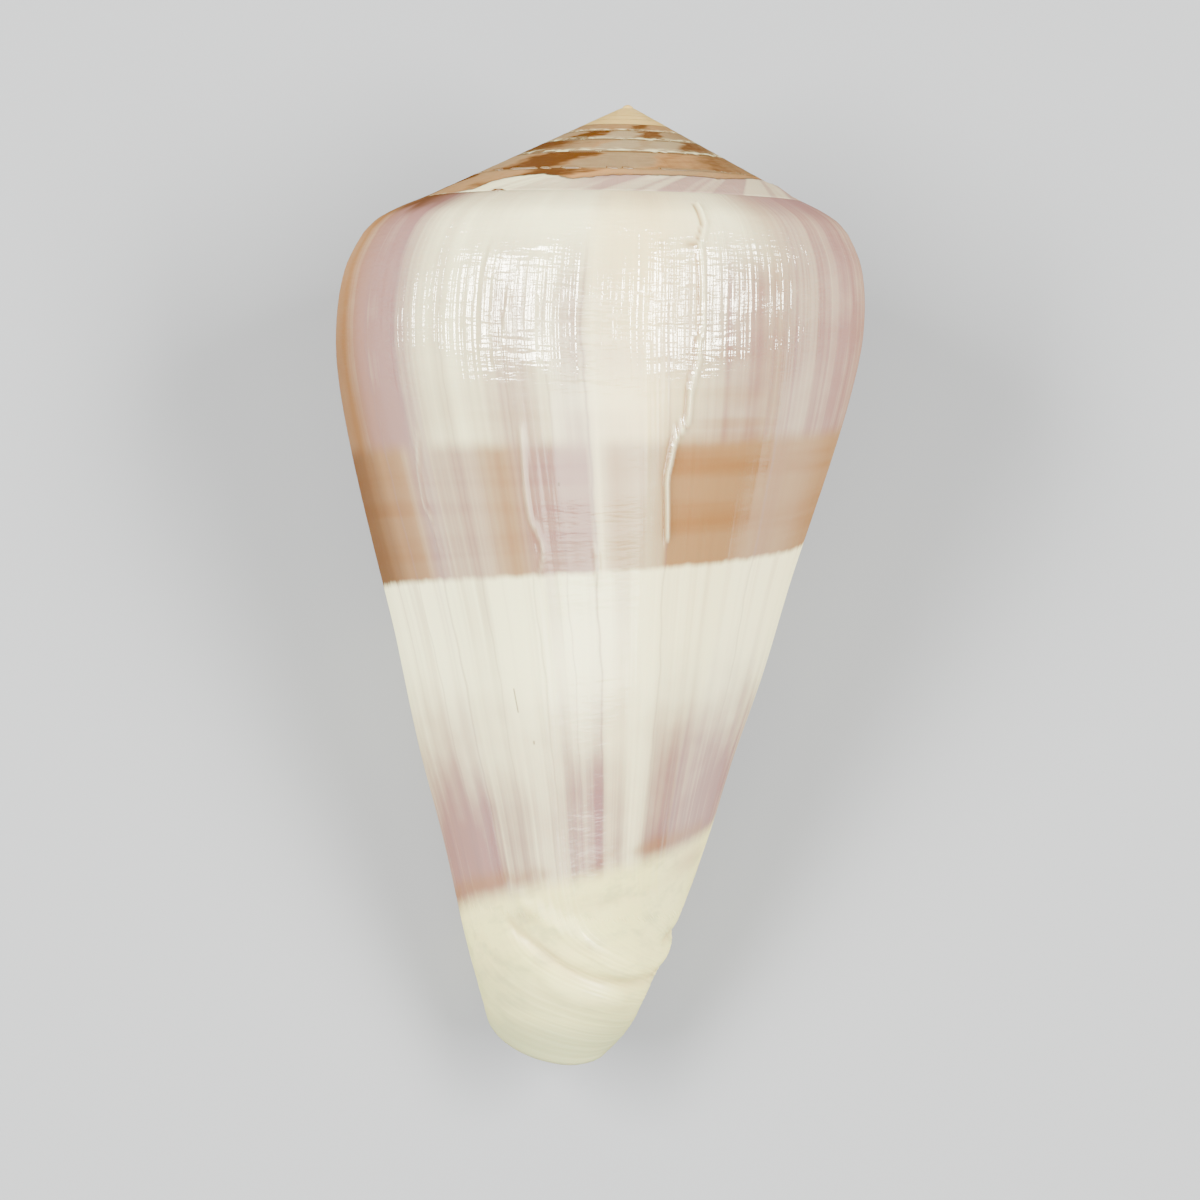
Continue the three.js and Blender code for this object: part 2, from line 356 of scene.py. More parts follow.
class Sheet:
    """One sheet of the shell: the lip's edge, turned and shrunk about the apex for every step of growth."""

    def __init__(self, nodes, given):
        self.nodes, self.given = nodes, given
        self.lay_grid()
        self.turn_edge()
        self.outside = 1 - self.inset.smooth(0.02, 0.2)
        self.mark()

    def lay_grid(self):
        """The grid's rows follow the lip's edge, and its columns the steps of the wall's section."""
        nodes, rows, rounding = self.nodes, self.given["Rows"], self.given["Rounding Rows"]
        self.grid, self.row, column = grid_of(nodes, rows + rounding, self.given["Columns"])
        last = rows - 1
        self.on_edge = self.row.least(last)
        self.curl = (self.row - last).most(0) / rounding.most(1) * (math.pi / 2)
        section = object_curve(nodes, self.given["Wall Section"])
        step = sample(nodes, section, nodes.add("InputPosition"), column)
        self.back, self.inset, self.forward = nodes.separate(step)

    def turn_edge(self):
        """Lays the skin, with its directions down the lip, towards older growth and out."""
        nodes, growth = self.nodes, self.given["Growth Per Whorl"]
        edge = object_curve(nodes, self.given["Lip Edge"])
        start = sample(nodes, edge, nodes.add("InputPosition"), self.on_edge)
        along = sample(nodes, edge, nodes.add("InputTangent"), self.on_edge)
        shoulder = sample(nodes, edge, nodes.add("InputRadius"), self.on_edge, "FLOAT") - 1

        # The older whorls stand out a little more at the shoulder.
        start_x, start_y, _ = nodes.separate(start)
        outward = nodes.vector("NORMALIZE", nodes.combine(start_x, start_y, 0))
        swollen = self.given["Shoulder Swell"] * shoulder * self.back.smooth(235, 358)
        start = nodes.moved(start, outward, swollen)

        self.shrunk = growth ** (self.back / -FULL_TURN)
        self.skin = nodes.scale(self.turned(start), self.shrunk)
        self.down = self.turned(along)
        skin_x, skin_y, skin_z = nodes.separate(self.skin)
        shrinking = growth.math("LOGARITHM", math.e) / (2 * math.pi)
        turning = nodes.combine(-skin_y, skin_x, 0)
        old = nodes.vector("SUBTRACT", turning, nodes.scale(self.skin, shrinking))
        self.towards_old = nodes.vector("NORMALIZE", old)
        self.out = nodes.vector("NORMALIZE", nodes.vector("CROSS_PRODUCT", self.down, self.towards_old))
        self.girth = start_y.math("ARCTAN2", start_x) * TO_DEGREES + self.back
        self.depth = skin_z * -1

    def turned(self, vector):
        """The vector turned about the coiling axis by the age of the growth."""
        values = {"Vector": vector, "Angle": self.back * TO_RADIANS}
        return self.nodes.add("VectorRotate", values, {"rotation_type": "Z_AXIS"})

    def mark(self):
        """Breaks, grooves and folds, on a plane with the girth along X and the depth along Y."""
        nodes = self.nodes
        plane = nodes.combine(self.girth * GIRTH_ON_PLANE, self.depth, 0)
        outer = self.outside * (1 - self.back.smooth(350, FULL_TURN))

        def marked(name, width, shift=0):
            curve = object_curve(nodes, self.given[name])
            edges = nodes.add("CurveToMesh", {"Curve": curve})
            near = {"Geometry": edges, "Source Position": nodes.vector("ADD", plane, (shift, 0, 0))}
            away = nodes.add("Proximity", near, {"target_element": "EDGES"}, "Distance")
            return away.near(0, width) * outer

        self.scar = marked("Healed Breaks", 0.1)
        # Beside each break lies a shallow groove, which the paint also darkens with tan as painted shadow.
        self.seam = marked("Healed Breaks", 0.08, 0.18)
        self.groove = marked("Grooves", 0.42)
        self.folds = marked("Ridges", 0.6) * 0.16 - self.groove * 0.2

    def rise(self):
        """How far the growth lines, the marks and the older ramp's folds stand out of the smooth form."""
        nodes, given, row, back = self.nodes, self.given, self.row, self.back
        place = nodes.combine(back, self.depth * 0.12, given["Seed"])
        coarse = nodes.noise(place, 0.06) - 0.5
        medium = nodes.noise(place, 0.21, 2, 0.6) - 0.5
        fine = nodes.noise(place, 0.6, 1) - 0.5
        lines = (coarse * 1.6 + medium * 1.3 + fine * 0.9) * given["Growth Relief"]
        lines = lines * row.smooth(0, 5) * self.shrunk.least(1) * self.outside
        marks = (self.scar - self.seam * 0.4) * given["Break Height"] + self.folds * given["Fold Height"]
        ramp_edge = row.smooth(4, 7) * (1 - row.smooth(9, 14))
        on_ramp = back.smooth(440, 470) * (1 - back.smooth(600, 640)) * ramp_edge
        ramp_folds = nodes.noise(nodes.combine(back + row * 1.6, 3, given["Seed"]), 0.13, 1) - 0.5
        return lines + marks + ramp_folds * on_ramp * 0.5

    def place(self):
        """Each point's place: under the skin by its inset, rounded at the rim and at the lip's edge."""
        nodes, half = self.nodes, self.given["Wall"] / 2
        inset_now = half + (self.inset - half) * self.curl.math("COSINE")
        lower = (half - self.inset).math("ABSOLUTE") * self.curl.math("SINE")
        place = nodes.moved(self.skin, self.out, self.rise() - inset_now)
        return nodes.moved(nodes.moved(place, self.down, lower), self.towards_old, self.forward * -1)


# The inputs of both trees, of one sheet and of the whole shell, with their defaults.
SHARED_INPUTS = {
    "Lip Edge": None, "Healed Breaks": None, "Ridges": None, "Grooves": None,
    "Growth Per Whorl": GROWTH_PER_WHORL, "Wall": 1.0, "Shoulder Swell": 0.88, "Growth Relief": 0.05,
    "Break Height": 0.2, "Fold Height": 1.0, "Seed": 4.0,
}
SHEET_INPUTS = {"Wall Section": None, "Rows": 4, "Columns": 4, "Rounding Rows": 0}
SHELL_INPUTS = {
    "Wall Section": None, "Spire Section": None, "Pillar": None, "Wall Columns": 4, "Spire Columns": 4,
    "Bud Radius": 0.36, "Resting Pitch": RESTING_PITCH, "Resting Face": RESTING_FACE, "Apex": APEX,
    "Material": None,
}


def growth_tree():
    """Grows one sheet from the lip's edge and keeps what the colours need as attributes."""
    tree, nodes, face = new_tree("Grow From Lip Edge")
    sheet = Sheet(nodes, face.inputs(SHARED_INPUTS | SHEET_INPUTS))
    shaped = nodes.add("SetPosition", {"Geometry": sheet.grid, "Position": sheet.place()})
    shaped = store(nodes, shaped, "age", sheet.back)
    shaped = store(nodes, shaped, "inside", 1 - sheet.outside)
    for name in ("girth", "depth", "scar", "seam", "groove", "row"):
        shaped = store(nodes, shaped, name, getattr(sheet, name))
    face.output(nodes.add("FlipFaces", {"Mesh": shaped}))
    return tree


def placed(name, data):
    """A new object in the scene."""
    made = bpy.data.objects.new(name, data)
    bpy.context.scene.collection.objects.link(made)
    return made


def curve_object(name, lines, radii=None):
    """A plain curve object of straight splines, which a tree reads and which is removed once it is used."""
    curve = bpy.data.curves.new(name, "CURVE")
    curve.dimensions = "3D"
    for points in lines:
        spline = curve.splines.new("POLY")
        spline.points.add(len(points) - 1)
        for i, (point, place) in enumerate(zip(spline.points, points)):
            point.co = (*place, 1)
            point.radius = radii[i] if radii else 1
    return placed(name, curve)


# How far back the hollow goes, and from where its lining draws in, over which turn and how far.
HOLLOW_TURN = 300
LINING_TURN, LINING_SPREAD, LINING_INSET = 225, 75, 7
# Runs of growth on the last whorl and on the spire, as first age, last age and the number of steps.
WALL_RUNS = [
    (0, 20, 14), (20, 84, 70), (84, 90, 14), (90, 108, 22), (108, 121, 30), (121, 143, 26), (143, 158, 52),
    (158, 260, 108), (260, 360, 66), (360, 645, 48),
]
SPIRE_RUNS = [(360, 1800, 480), (1800, 4320, 420)]
BUD_AGE = 4400


def wall_section(wall):
    """The wall's section at the lip, from deep in the lining round the edge to the last whorl's outside.

    A point's X is its age in degrees of turn, Y how far it lies under the skin, Z how far before the edge.
    """
    half = wall / 2
    line = []
    for back in steps(HOLLOW_TURN, 0, 48):
        drawn_in = (max(back - LINING_TURN, 0) / LINING_SPREAD) ** 2
        line.append((back, wall + LINING_INSET * drawn_in, 0))
    for turn in (150, 120, 90, 60, 30):
        angle = radians_of(turn)
        line.append((0, half - half * math.cos(angle), half * math.sin(angle)))
    return line + on_skin(WALL_RUNS)


def on_skin(runs):
    """The steps of growth on the skin, run after run."""
    line = [(float(runs[0][0]), 0, 0)]
    for run in runs:
        line += [(back, 0, 0) for back in steps(*run)[1:]]
    return line


def steps(first, last, count):
    return [first + (last - first) * i / count for i in range(count + 1)]


def shell_tree():
    """The whole shell: the last whorl with its wall, the spire, the first bud and the pillar, laid down."""
    growth = growth_tree()
    tree, nodes, face = new_tree("Cone Shell")
    shared, own = face.inputs(SHARED_INPUTS), face.inputs(SHELL_INPUTS)

    def sheet(run, rows, rounding=0):
        values = {"Wall Section": own[f"{run} Section"], "Columns": own[f"{run} Columns"]}
        values |= {"Rows": rows, "Rounding Rows": rounding}
        return nodes.add("Group", shared | values, {"node_tree": growth})

    pieces = (
        pillar(nodes, own["Pillar"]),
        bud(nodes, own["Bud Radius"]),
        sheet("Spire", RAMP_ROWS + 2),
        without_old_ramp(nodes, sheet("Wall", RAMP_ROWS + SIDE_ROWS + 1, ROUNDING_ROWS)),
    )
    joined = nodes.tree.nodes.new("GeometryNodeJoinGeometry")
    for piece in pieces:
        nodes.tree.links.new(piece.output, joined.inputs["Geometry"])
    shell = lay_down(nodes, Socket(nodes, joined.outputs["Geometry"]), own)
    shell = nodes.add("MergeByDistance", {"Geometry": shell, "Distance": 4e-6})
    shell = nodes.add("SetShadeSmooth", {"Geometry": shell})
    face.output(nodes.add("SetMaterial", {"Geometry": shell, "Material": own["Material"]}))
    return tree, face.identifiers


def without_old_ramp(nodes, whorl):
    """Past the first turn only the wall inside the mouth is kept, since the spire has its own ramp."""
    settings = {"data_type": "FLOAT"}
    age, row = (nodes.add("InputNamedAttribute", {"Name": name}, settings) for name in ("age", "row"))
    spare = age.math("GREATER_THAN", FULL_TURN + 0.5) * row.math("LESS_THAN", RAMP_ROWS - 0.5)
    values = {"Geometry": whorl, "Selection": spare}
    return nodes.add("DeleteGeometry", values, {"domain": "POINT"})


def bud(nodes, radius):
    """The rounded first bud at the apex."""
    made = nodes.add("MeshUVSphere", {"Segments": 24, "Rings": 12, "Radius": radius})
    place = {"Geometry": made, "Translation": nodes.combine(0, 0, radius * -0.98)}
    made = store(nodes, nodes.add("Transform", place), "age", BUD_AGE)
    return store(nodes, made, "depth", 0.4)


def pillar(nodes, line):
    """The pillar that the whorls wind round, which fills the axis inside the mouth."""
    circle = nodes.add("CurvePrimitiveCircle", {"Resolution": 28, "Radius": 1})
    values = {"Curve": object_curve(nodes, line), "Profile Curve": circle, "Fill Caps": True}
    return store(nodes, nodes.add("CurveToMesh", values), "inside", 1)


def lay_down(nodes, shell, own):
    """Lays the shell on its mouth in the frame, in metres, worn flat where it rests."""
    facing = nodes.combine(0, 0, (90 - own["Resting Face"]) * TO_RADIANS)
    pitch = nodes.combine((own["Resting Pitch"] - 90) * TO_RADIANS, 0, 0)
    for placing in ({"Rotation": facing}, {"Rotation": pitch, "Translation": own["Apex"]}):
        shell = nodes.add("Transform", {"Geometry": shell, **placing})
    x, y, z = nodes.separate(nodes.add("InputPosition"))
    worn = nodes.combine(x * MM, y * MM, z.most(0) * MM)
    return nodes.add("SetPosition", {"Geometry": shell, "Position": worn})


def pillar_line():
    """The pillar's line down the coiling axis, with its radii: a rod that tapers to a point."""
    radius, top, taper, tip = 1.6, 34, 37, 44.5
    points, radii = [(0, 0, -top)], [radius]
    for share in steps(0, 1, 16):
        points.append((0, 0, -(taper + (tip - taper) * share)))
        radii.append(max(radius * (1 - share**1.5), 0.02))
    return points, radii


# How far the older whorls stand out past the last one's profile at each depth, as a share of the swell.
OLD_SHOULDER = [
    (5.86, 0), (6.22, -0.16), (6.66, -0.15), (7.15, 0.12), (7.5, 0.49), (7.852, 1), (9, 0.8), (12, 0),
]


def shoulder_weights(edge):
    """The older whorls' swell at each row, kept above nothing as the radius of the curve's points."""
    return [1 + value_at(OLD_SHOULDER, min(-p.z, 12)) for p in edge]


# Healed breaks and growth marks on the last whorl, as lines of girth in degrees and depth in millimetres.
BREAKS = [
    [
        (155.6, 5.9), (155.8, 6.9), (153.9, 8), (154.3, 10.8), (154.6, 12.3), (153.5, 13.1), (154.3, 13.6),
        (152.9, 15.4), (153.2, 16.9), (150.6, 17.9), (149.6, 20), (150.6, 21.6), (151.5, 23.2),
    ],
    [(153.9, 8), (149.7, 8.2), (146.1, 8.15)],
]
FAINT_BREAKS = [
    [(116.4, 17.8), (116.6, 20.9), (117.3, 22.4), (120.2, 23.7), (120, 24.5), (119, 25.3)],
    [(133.7, 23.5), (134, 25.4)],
    [(90, 18), (88, 20.1), (87.9, 22), (89.4, 22.5)],
    [(108.8, 8.6), (108.2, 10.4), (108.6, 13.4), (107.9, 14.6)],
    [(114, 11.2), (113.1, 13), (111.2, 14.3)],
]
# Broad folds of the front end, in the same measures.
RIDGES = [
    [(100, 42.6), (106.2, 43.5), (120.3, 44.4), (131.8, 45), (145.3, 46.2), (154.2, 46.8), (170, 46.9)],
    [(112, 47.6), (127, 48.3), (144, 48.5), (165, 48.4)],
    [(188, 46.3), (205, 46.1), (222, 45.6)],
]
GROOVES = [
    [(94.3, 44.4), (107.1, 45.5), (121.8, 46.6), (137.5, 47.2), (155.2, 47.4), (186, 47.5), (205, 47.2)],
    [(192, 45.2), (206, 45), (222, 44.6)],
]


def plain_mesh(made, name):
    """The evaluated object as a plain mesh object, with no modifier left."""
    bpy.context.view_layer.update()
    evaluated = made.evaluated_get(bpy.context.evaluated_depsgraph_get())
    mesh = bpy.data.meshes.new_from_object(evaluated)
    mesh.name = name
    made.modifiers.clear()
    made.data = mesh
    return made


def marks(lines, away=0):
    """Marks given by girth and depth, as lines on the plane that the growth tree measures them on.

    A faint mark lies a little away from that plane.
    """
    return [[(girth * GIRTH_ON_PLANE, depth, away) for girth, depth in line] for line in lines]


def grow_shell(form, material):
    """Grows the shell as one plain mesh, already laid down in the frame."""
    edge = lip_edge_rows()
    pillar, radii = pillar_line()
    section, spire = wall_section(form.wall / MM), on_skin(SPIRE_RUNS)
    helpers = {
        "Lip Edge": curve_object("lip_edge", [edge], shoulder_weights(edge)),
        "Wall Section": curve_object("wall_section", [section]),
        "Spire Section": curve_object("spire_section", [spire]),
        "Healed Breaks": curve_object("healed_breaks", marks(BREAKS) + marks(FAINT_BREAKS, 0.1)),
        "Ridges": curve_object("ridges", marks(RIDGES)),
        "Grooves": curve_object("grooves", marks(GROOVES)),
        "Pillar": curve_object("pillar", [pillar], radii),
    }
    tree, identifiers = shell_tree()
    made = placed("cone_shell", bpy.data.meshes.new("cone_shell"))
    modifier = made.modifiers.new("Growth", "NODES")
    modifier.node_group = tree
    values = {
        **helpers,
        "Wall Columns": len(section),
        "Spire Columns": len(spire),
        "Growth Per Whorl": form.growth_per_whorl,
        "Seed": float(form.seed),
        "Material": material,
    }
    for name in ("wall", "shoulder_swell", "growth_relief", "break_height", "fold_height"):
        values[name.replace("_", " ").title()] = getattr(form, name) / MM
    for name, value in values.items():
        modifier[identifiers[name]] = value
    plain_mesh(made, "cone_shell")
    for helper in helpers.values():
        bpy.data.objects.remove(helper)
    return made


# What the last whorl laid down at each age, in degrees back from the lip: how much lilac, tan and cream, in
# hundredths. First the ground above the tan band.
GROUND_RECORD = [
    (0, 50, 30, 10), (40, 70, 60, 0), (62, 60, 95, 0), (71, 95, 30, 0), (83, 96, 12, 0), (88, 70, 0, 0),
    (93, 35, 0, 0), (100, 20, 5, 0), (107, 35, 20, 0), (113, 65, 20, 0), (120, 42, 15, 0),
    (128.5, 62, 10, 0), (130, 30, 10, 40), (134, 10, 10, 80), (144, 20, 15, 100), (152, 45, 35, 50),
    (156, 45, 45, 20), (162, 72, 54, 0), (174, 78, 44, 0), (179, 74, 12, 0), (187, 78, 20, 0),
    (200, 90, 20, 0), (224, 80, 40, 10), (250, 40, 20, 30), (276, 75, 30, 0), (300, 35, 10, 40),
    (332, 65, 30, 10),
]
# The tan band.
BAND_RECORD = [
    (0, 35, 80, 20), (24, 50, 95, 10), (46, 30, 100, 20), (70, 30, 100, 0), (80, 50, 95, 0),
    (85, 100, 15, 0), (88, 75, 5, 0), (101, 75, 15, 0), (105, 65, 60, 0), (109, 60, 80, 0),
    (113, 80, 40, 0), (117, 100, 20, 0), (128.5, 100, 18, 0), (130.5, 25, 15, 50), (134.5, 30, 72, 30),
    (142, 45, 45, 20), (146.3, 40, 65, 0), (147.6, 20, 98, 0), (173, 20, 100, 0), (177, 78, 88, 0),
    (180, 78, 90, 0), (184, 20, 98, 0), (210, 40, 95, 20), (244, 80, 50, 10), (262, 30, 90, 20),
    (290, 75, 70, 0), (318, 35, 55, 40), (340, 55, 90, 10),
]
# The lilac band near the front end.
LOWER_RECORD = [
    (0, 70, 30, 0), (30, 60, 20, 10), (50, 100, 45, 0), (66, 92, 35, 0), (84, 92, 10, 0), (89, 52, 0, 0),
    (98, 48, 0, 0), (107, 50, 0, 0), (112, 54, 0, 0), (116, 58, 0, 0), (121, 84, 0, 0), (124, 78, 0, 0),
    (128.5, 95, 0, 0), (130.5, 60, 15, 20), (134, 42, 15, 30), (139, 22, 5, 20), (145, 45, 15, 10),
    (152, 80, 35, 0), (167, 82, 15, 0), (190, 95, 20, 0), (224, 55, 15, 10), (250, 85, 10, 0),
    (276, 40, 10, 20), (300, 90, 20, 0), (332, 50, 10, 10),
]
# Ages at which growth paused, with each line's width in degrees and its strength.
GROWTH_PAUSES = [
    (74.5, 0.35, 0.3), (85.3, 0.45, 0.38), (98, 0.25, 0.22), (112.5, 0.3, 0.26), (121.5, 0.25, 0.3),
    (129.3, 0.35, 0.5), (147.2, 0.3, 0.3), (176, 0.4, 0.3), (232, 0.4, 0.35), (281, 0.35, 0.3),
]
# Specks of dirt, each a stroke from one girth and depth to another, with its width in millimetres.
SPECKS = [
    (109.1, 31.4, 109.9, 32.6, 0.045), (114.4, 34.15, 114.4, 34.25, 0.06),
    (124.6, 20.45, 124.6, 20.55, 0.05),
]
# The same for the spire: how much brown, how much tan and how much pale grey.
LATE_SPIRE = [
    (360, 95, 30, 0), (392, 95, 30, 0), (417, 90, 30, 0), (430, 5, 50, 20), (448, 20, 70, 10),
    (457, 90, 90, 0), (470, 85, 90, 0), (479, 5, 100, 0), (512, 0, 40, 30), (536, 25, 60, 10),
    (570, 40, 60, 0), (640, 10, 40, 40), (690, 80, 60, 0), (730, 10, 30, 50), (772, 2, 25, 50),
    (796, 12, 40, 40), (812, 85, 90, 0), (832, 95, 90, 0), (843, 5, 10, 35), (866, 2, 10, 35),
    (873, 45, 80, 0), (888, 35, 60, 0), (902, 60, 30, 0), (940, 35, 30, 20), (1010, 80, 50, 0),
    (1060, 10, 30, 40),
]
EARLY_SPIRE = [
    (1080, 10, 30, 40), (1118, 85, 30, 10), (1166, 85, 50, 0), (1186, 30, 20, 40), (1200, 30, 60, 20),
    (1206, 4, 0, 90), (1223, 4, 0, 90), (1229, 35, 20, 40), (1236, 4, 0, 80), (1250, 10, 0, 80),
    (1258, 75, 10, 10), (1276, 65, 10, 20), (1300, 20, 20, 50), (1390, 80, 40, 10), (1470, 10, 10, 60),
    (1528, 15, 20, 40), (1538, 90, 60, 0), (1556, 85, 50, 0), (1564, 4, 0, 80), (1583, 4, 0, 80),
    (1588, 80, 20, 0), (1606, 70, 20, 0), (1614, 25, 10, 40), (1740, 60, 30, 20), (1850, 5, 30, 10),
    (1938, 5, 30, 0), (1946, 80, 40, 0), (1956, 70, 40, 0), (1966, 2, 30, 0), (2100, 0, 20, 0),
]
# The row, from the suture down, that the last whorl's glaze reaches over the ramp before it, at each age.
GLAZE_EDGE = [
    (360, 14), (440, 14), (448, 12.6), (450, 9), (455, 7.3), (462, 6.3), (467, 4.7), (475, 7), (480, 8.5),
    (490, 6.8), (497, 5.8), (503, 4.9), (518, 4.6), (534, 5.3), (543, 4.8), (557, 2.9), (600, 3), (660, 6),
    (700, 14),
]


def record_ramp(nodes, value, record):
    """Reads a record of (value, three strengths) as three sockets."""
    first, last = record[0][0], record[-1][0]
    stops = [((at - first) / (last - first), [part / 100 for part in parts]) for at, *parts in record]
    place = (value - first) / (last - first)
    ramp = nodes.add("ValToRGB", {"Fac": place}, {"stops": stops})
    parts = nodes.add("SeparateColor", {"Color": ramp})
    return parts, parts.part("Green"), parts.part("Blue")


class Skin:
    """The places and the growth streaks that every pattern on the shell is built from."""

    def __init__(self, nodes):
        self.nodes = nodes
        for name in ("age", "depth", "row", "inside", "scar", "seam", "groove", "girth"):
            setattr(self, name, nodes.add("Attribute", None, {"attribute_name": name}, "Fac"))
        self.band = self.depth * nodes.math("POWER", GROWTH_PER_WHORL, self.age / FULL_TURN)
        self.last_age = self.age.least(FULL_TURN)
        self.broad = self.streaks(0.055, 3)
        self.middle = self.streaks(0.2, 11)
        self.fine = self.streaks(0.65, 17, 2)
        self.cloud = self.patches(0.06, 0.3, 15)
        self.edge = self.band + self.streaks(0.35, 23, 3) * 0.4

    def streaks(self, scale, seed, detail=1):
        """Noise drawn out along the lines of growth, about 0 in the middle."""
        place = self.nodes.combine(self.age, self.band * 0.03, seed)
        return self.nodes.noise(place, scale, detail) - 0.5

    def spirals(self, scale, seed, detail=1):
        """Noise drawn out round the shell."""
        place = self.nodes.combine(self.band, self.age * 0.01, seed)
        return self.nodes.noise(place, scale, detail) - 0.5

    def patches(self, along, down, seed, detail=2, roughness=0.5):
        """Patchy noise, with its scales along the growth and down the whorl, about 0 in the middle."""
        place = self.nodes.combine(self.age * along, self.band * down, seed)
        return self.nodes.noise(place, 1, detail, roughness) - 0.5

    def off_middle(self, middle, near, far):
        """0 within one turn of a middle age, in degrees either way, and 1 beyond the other."""
        return (self.last_age - middle).math("ABSOLUTE").smooth(near, far)


def washed(skin, colours, record, fade, tan_fade, wander):
    """The ground with one record's wash over it, faded as given and wandering along the growth."""
    nodes = skin.nodes
    lilac, tan, cream = record_ramp(nodes, skin.last_age, close_record(record))
    lilac = lilac * 1.12 + skin.middle * 0.35 * wander + skin.fine * 0.45 + skin.cloud * 0.3 * wander
    tan = tan * 1.06 + skin.middle * 0.2 * wander + skin.cloud * 0.2 * wander
    ground = nodes.mix(cream, colours.white, colours.cream)
    return nodes.layered(ground, (lilac.held() * fade, colours.lilac), (tan.held() * tan_fade, colours.tan))


def upper_colour(skin, colours):
    """The ground under the shoulder and the tan band, both browner at the old lip's side as painted shade
    where the whorl turns away at the left edge.
    """
    nodes, band, age = skin.nodes, skin.band, skin.last_age

    # The middle of the back is paler by the shoulder, and the wash grows fuller towards the sides, partly
    # the shell's own lilac and tan and partly painted shade. The tan gathers towards the band in spiral
    # lines.
    margins = skin.off_middle(MIDDLE_AGE, 18, 46)
    below_shoulder = (band + skin.broad * 3).smooth(6.5, 12.5)
    lines = skin.spirals(0.8, 31, 2).smooth(-0.12, 0.2)
    gathering = band.smooth(10, 19) * (lines * 0.7 + 0.3)
    clearing = 1 - band.near(17.7, 1.2) * age.near(138, 11) * 0.8
    fade = margins.most(below_shoulder * 0.9 + 0.1) * clearing
    ground = washed(skin, colours, GROUND_RECORD, fade, margins.most(gathering) * clearing, 1)
    band_part = washed(skin, colours, BAND_RECORD, lines * 0.08 + 0.92, lines * 0.06 + 0.94, 0.25)
    # Painted shade: brown over ages under about 70, where the whorl turns away at the left edge.
    deep = (1 - (age + skin.middle * 12).smooth(58, 82)) * 0.85
    ground = nodes.mix(deep * band.smooth(8, 16) * 0.5, ground, colours.brown)
    band_part = nodes.mix(deep, band_part, colours.brown)
    return nodes.mix(skin.edge.smooth(*BAND_TOP), ground, band_part)


def lower_colour(skin, colours):
    """The white zone with its faint streaks, and the lilac band below it."""
    nodes, band = skin.nodes, skin.band
    fade = (band + skin.middle * 5 + skin.cloud * 4).smooth(31, 42)
    lilac_part = washed(skin, colours, LOWER_RECORD, fade, 0.5, 0.8)
    dusky = (skin.middle + skin.cloud * 0.3 + skin.fine * 0.4).smooth(-0.15, 0.3)
    lilac_part = nodes.mix(dusky * band.smooth(37, 44.5) * 0.6, lilac_part, colours.dusk)
    streaky = (skin.middle + skin.fine * 0.5).smooth(-0.04, 0.24)
    white_zone = nodes.mix(streaky * 0.34, colours.white, colours.lilac)
    white_zone = nodes.mix(skin.last_age.smooth(124, 152) * 0.4, white_zone, colours.cream)
    return nodes.mix((band + skin.middle * 4).smooth(30, 36), white_zone, lilac_part)


def front_colour(skin, colours):
    """The mottled cream front end."""
    nodes = skin.nodes
    patchy = skin.patches(0.03, 0.6, 19).smooth(-0.2, 0.3)
    mottle = skin.patches(0.07, 0.9, 33, 3, 0.6).smooth(-0.05, 0.22)
    return nodes.mix(mottle * 0.45, nodes.mix(patchy * 0.35, colours.ivory, colours.cream), colours.tip)


def stain_front(skin, colours, body):
    """Faint stains, thinner, greyer shell towards the tip, and painted shade on the front end's sides."""
    nodes, depth = skin.nodes, skin.depth
    stained = skin.patches(0.02, 0.5, 41).smooth(0, 0.25)
    thin = depth.smooth(47.4, 51.2) * 0.95
    # Partly thin, greyer shell and partly painted shade: the front end's sides, away from age 128, take the
    # tip's grey.
    thin_and_shaded_sides = depth.smooth(44.5, 49) * skin.off_middle(128, 25, 70) * 0.55
    fold_stain = skin.last_age.near(178, 14) * skin.band.near(46.9, 0.9)
    return nodes.layered(
        body,
        (skin.edge.smooth(45.6, 47) * stained * 0.25, colours.stain),
        (skin.groove * 0.4, colours.stain),
        (thin.most(thin_and_shaded_sides), colours.tip),
        (fold_stain * 0.6, colours.stain),
    )


def colour_ramp(skin, colours, body):
    """The last whorl's ramp: a lilac collar, painted shade in the suture's crease and the brown of an old
    lip.
    """
    nodes, age, row = skin.nodes, skin.last_age, skin.row + skin.middle * 8
    collar = (1 - row.smooth(0, 15)) * age.smooth(50, 90)
    collar = collar * (age.smooth(165, 185) * 0.3 + 0.42)
    # Painted shade: a dark line along the suture's crease, strongest at ages under about 100.
    crease_shade = skin.row.near(0, 1.1) * (1 - age.smooth(84, 112) * 0.85)
    old_lip = age.near(71, 15) * (1 - row.smooth(5, 11))
    layers = (collar, colours.lilac), (crease_shade * 0.6, colours.shade), (old_lip * 0.9, colours.brown)
    return nodes.layered(body, *layers)


def body_colour(skin, colours):
    """The last whorl: a washed ground, the tan band, the lilac band and the cream front end."""
    nodes, band, edge = skin.nodes, skin.band, skin.edge
    broken = (skin.cloud + skin.last_age.near(68, 18) * 0.3).smooth(-0.1, 0.15)
    body = nodes.layered(
        upper_colour(skin, colours),
        (edge.smooth(*BAND_FOOT), lower_colour(skin, colours)),
        (edge.near(44.9, 0.6) * broken * 0.6, colours.tan),
        (growth_lines(skin) * (1 - band.smooth(40, 45)), colours.dusk),
        (edge.smooth(*FRONT_START), front_colour(skin, colours)),
    )
    return colour_ramp(skin, colours, stain_front(skin, colours, body))


def growth_lines(skin):
    """Thin dark lines where growth paused, along the whole side."""
    wobble = skin.nodes.noise(skin.nodes.combine(skin.band * 0.25, 2, 27), 1) - 0.5
    place = skin.age + wobble * 3
    lines = [place.near(age, width) * strength for age, width, strength in GROWTH_PAUSES]
    return strongest(lines) * skin.band.smooth(8, 12)


